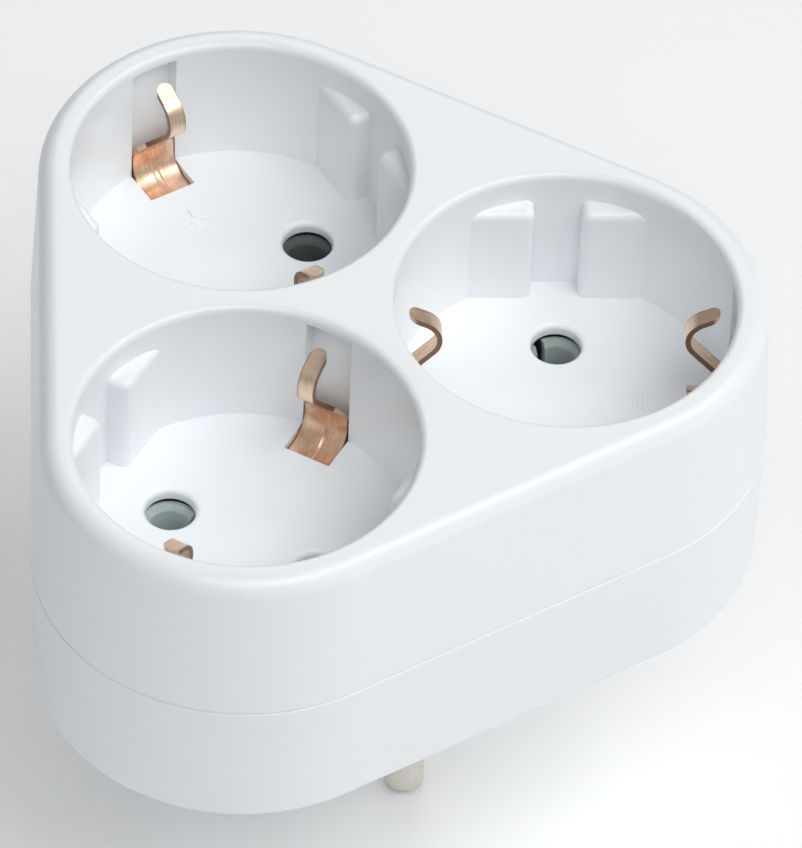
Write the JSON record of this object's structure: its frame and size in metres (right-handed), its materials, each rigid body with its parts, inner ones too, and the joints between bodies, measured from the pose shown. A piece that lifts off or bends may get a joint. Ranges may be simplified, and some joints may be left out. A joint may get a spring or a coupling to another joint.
{
  "type": "multi socket adapter",
  "caption": "Rounded triangular plug-in adapter with deep round socket wells facing up, sprung side earth clips in each and a round pin plug on its back.",
  "frame": {"origin": "centre of the plug body's engagement face", "axes": "+Z out of the socket face, +X through the centre of socket 1, plug pins down -Z"},
  "size_m": [0.0846, 0.0902, 0.0778],
  "materials": {
    "white_plastic": "glossy moulded",
    "pin_metal": "nickel plated, turned",
    "contact_metal": "nickel plated sheet",
    "brass_strip": "stamped strip",
    "copper_spring": "stamped bronze strip",
    "screw_steel": "zinc plated"
  },
  "bodies": {
    "root": {"front_housing": "white_plastic", "rear_housing": "white_plastic", "plug_pin_neutral": "pin_metal", "plug_pin_live": "pin_metal", "neutral_busbar": "brass_strip", "live_busbar": "brass_strip", "earth_busbar": "brass_strip", "neutral_contact_1": "contact_metal", "live_contact_1": "contact_metal", "earth_clip_1": "copper_spring", "clip_rivet_1": "brass_strip", "housing_screw_1": "screw_steel", "neutral_contact_2": "contact_metal", "live_contact_2": "contact_metal", "earth_clip_2": "copper_spring", "clip_rivet_2": "brass_strip", "housing_screw_2": "screw_steel", "neutral_contact_3": "contact_metal", "live_contact_3": "contact_metal", "earth_clip_3": "copper_spring", "clip_rivet_3": "brass_strip", "housing_screw_3": "screw_steel", "plug_earth_contact_1": "copper_spring", "plug_earth_rivet_1": "brass_strip", "plug_earth_contact_2": "copper_spring", "plug_earth_rivet_2": "brass_strip"}
  },
  "joints": []
}
